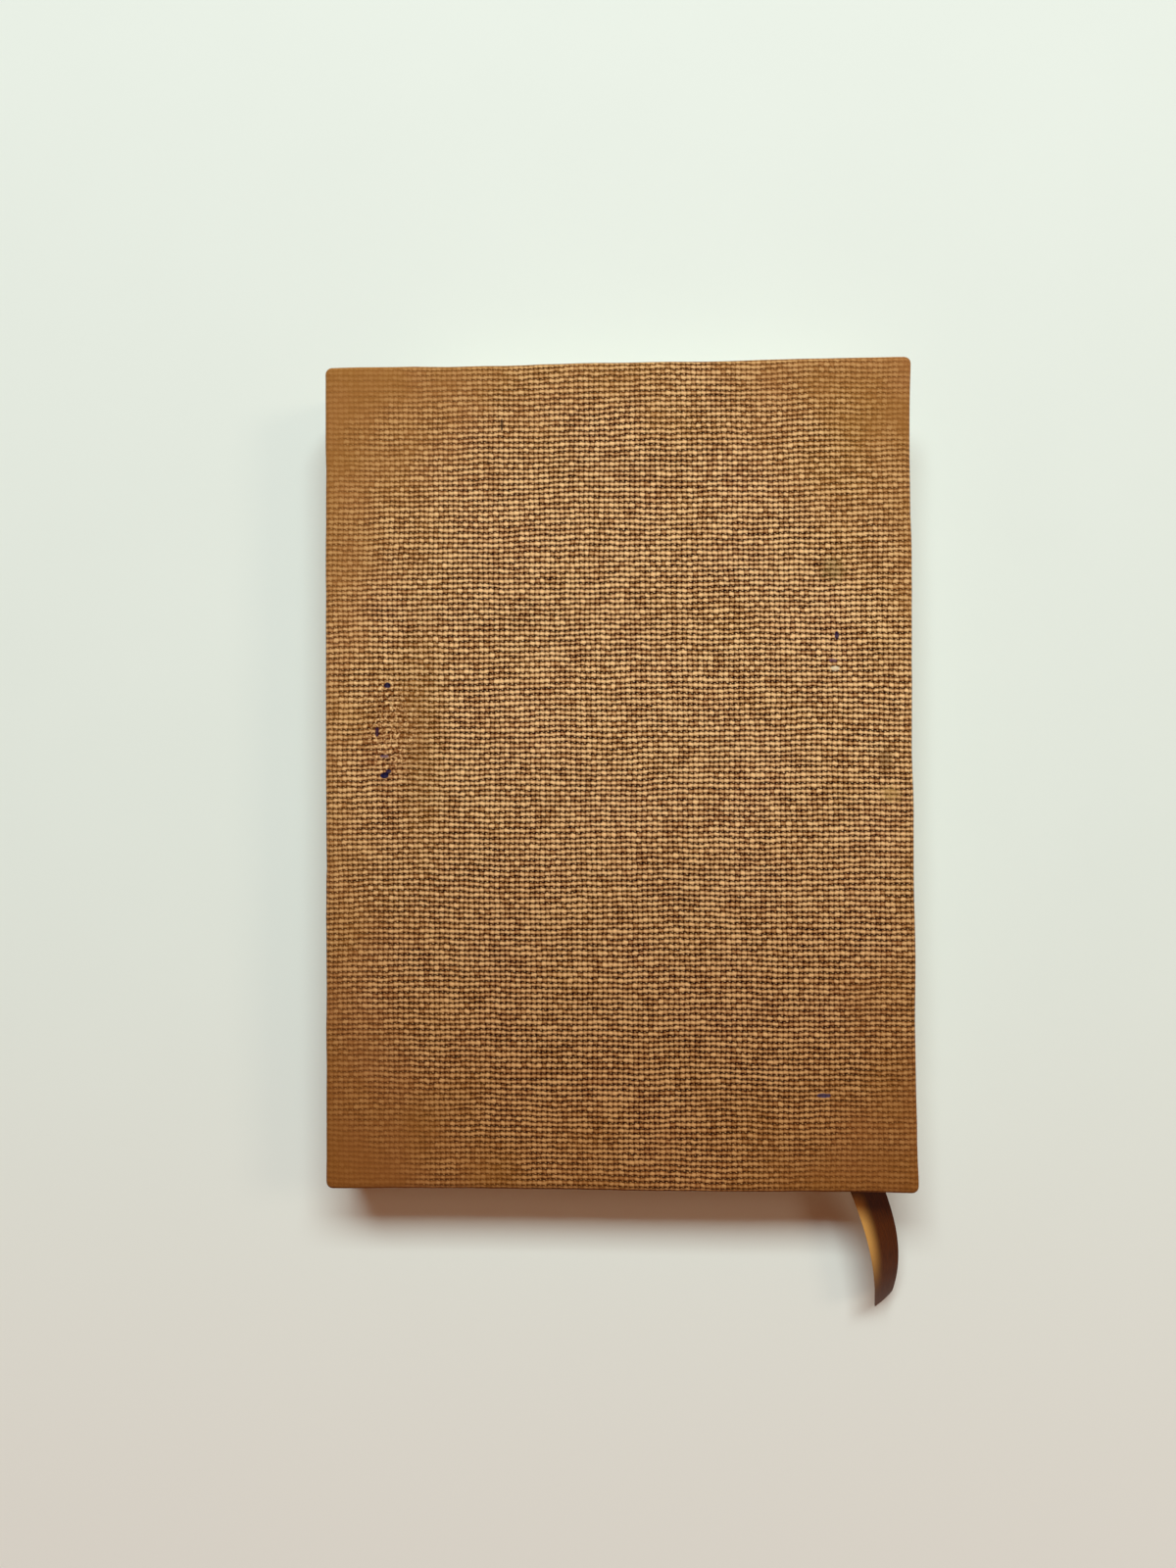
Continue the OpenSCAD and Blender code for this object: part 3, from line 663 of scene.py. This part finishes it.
wire(linen, tone, shader, "Base Color")
relief = add(linen, "Math", {0: fibre, 1: 0.2, 2: weave}, operation="MULTIPLY_ADD")[0]
relief = add(linen, "Math", {0: relief, 1: depth}, operation="MULTIPLY")[0]
relief = add(linen, "Bump", {"Height": relief, "Strength": 1.0, "Distance": 0.0004})[0]
wire(linen, relief, shader, "Normal")

cover_linen("front_linen", "front_cover", True)
cover_linen("back_linen", "back_cover", False)

# Linen of the spine, round the stiff strip and turned in over its ends
spine_t = 2.0
bm = bmesh.new()
bmesh.ops.create_cube(bm, size=1)
bmesh.ops.scale(bm, vec=(spine_t, cover_h, front_hinge_z - back_hinge_z), verts=bm.verts)
bmesh.ops.translate(bm, vec=(spine_t / 2 - fore_x, 0, mid_z), verts=bm.verts)
uprights = [e for e in bm.edges if abs(e.verts[0].co.z - e.verts[1].co.z) > 1]
outer = [e for e in uprights if e.verts[0].co.x < -52]
inner = [e for e in uprights if e.verts[0].co.x > -52]
for radius, edges in ((corner_r, outer), (0.3, inner)):
    bmesh.ops.bevel(bm, geom=edges, offset=radius, segments=4, profile=0.5, affect="EDGES",
                    material=-1)
cut_up(bm, 1, [turn_in_w - head_y, head_y - turn_in_w])
gone = [f for f in bm.faces if abs(f.normal.z) > 0.9
        or (f.normal.x > 0.9 and abs(f.calc_center_median().y) < head_y - turn_in_w)]
bmesh.ops.delete(bm, geom=gone, context="FACES")
cut_up(bm, 1, rows)
cut_up(bm, 2, [mid_z + 1.8 * k for k in (-2, -1, 0, 1, 2)])
threads = bm.loops.layers.uv.new("threads")
for face in bm.faces:
    for loop in face.loops:
        x, y, z = loop.vert.co
        reach = abs(y) + (x + fore_x if abs(y) > 72.7 else 0)
        if face.normal.x > 0.5:
            reach = cover_h - abs(y) + spine_t
        loop[threads].uv = (z - total_t - fore_x, math.copysign(reach, y))
for vert in bm.verts:
    x, y, z = vert.co
    # The hinge lines hold its edges, but for its rounded ends at head and tail
    loose = max(min(1, (z - back_hinge_z) / 1.8, (front_hinge_z - z) / 1.8),
                1 - (head_y - abs(y)) / 3)
    vert.co += loose * wander(x, y)
    if x > -52:
        vert.co.z = min(max(z, back_hinge_z + 0.2), front_hinge_z - 0.2)
bmesh.ops.solidify(bm, geom=bm.faces, thickness=cloth_t)
for vert in bm.verts:
    if vert.co.x > near_spine_x:
        vert.co.z = min(max(vert.co.z, back_hinge_z + fold_room), front_hinge_z - fold_room)
spine = piece("spine_linen", bm, linen)
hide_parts("spine_cloth")
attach(spine, "book_block")
